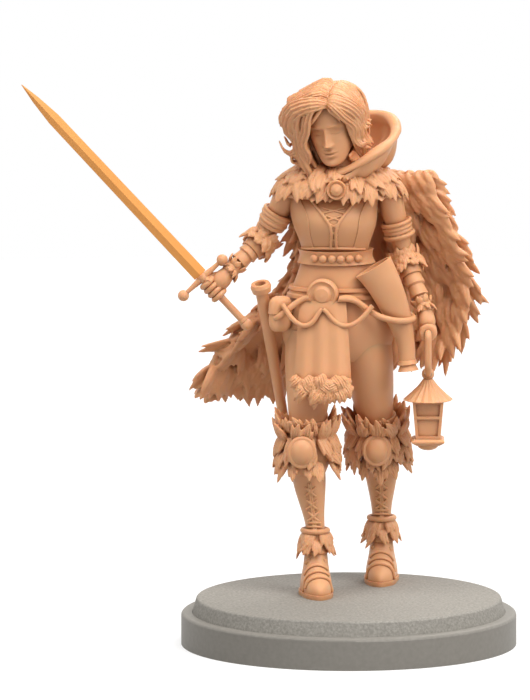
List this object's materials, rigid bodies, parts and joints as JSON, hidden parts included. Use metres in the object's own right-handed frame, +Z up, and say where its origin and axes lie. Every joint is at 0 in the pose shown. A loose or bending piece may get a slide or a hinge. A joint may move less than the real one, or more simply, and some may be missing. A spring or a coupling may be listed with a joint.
{
  "type": "display miniature",
  "caption": "Cast resin fantasy traveller with drawn sword, lantern and shaggy cloak, glued up from separate pieces on a stepped round base.",
  "frame": {"origin": "centre of the base's underside, on the surface that it stands on", "axes": "+Z up, the figure faces -Y, and its sword hand is towards -X"},
  "size_m": [0.0738, 0.05, 0.0848],
  "materials": {
    "base": "matte",
    "resin": "satin"
  },
  "bodies": {
    "root": {"base_plinth": "base", "base_insert": "base", "right_boot": "resin", "left_boot": "resin", "right_boot_cuff": "resin", "left_boot_cuff": "resin", "right_ankle_fringe": "resin", "left_ankle_fringe": "resin", "right_leg": "resin", "left_leg": "resin", "hips": "resin", "torso": "resin", "head": "resin", "hair": "resin", "hood": "resin", "hood_rim": "resin", "fur_mantle": "resin", "brooch": "resin", "cloak": "resin", "right_upper_arm": "resin", "right_elbow_cuff": "resin", "right_forearm": "resin", "right_wrist_cuff": "resin", "right_hand": "resin", "left_upper_arm": "resin", "left_elbow_cuff": "resin", "left_forearm": "resin", "left_wrist_cuff": "resin", "left_hand": "resin", "sword_blade": "resin", "sword_guard": "resin", "sword_grip": "resin", "scabbard": "resin", "lantern_handle": "resin", "lantern_roof": "resin", "lantern_body": "resin", "lantern_tray": "resin", "waist_sash": "resin", "belt": "resin", "belt_buckle": "resin", "belt_slings": "resin", "belt_swags": "resin", "tabard": "resin", "tabard_fringe": "resin", "hip_horn": "resin", "hip_pouch": "resin"}
  },
  "joints": []
}
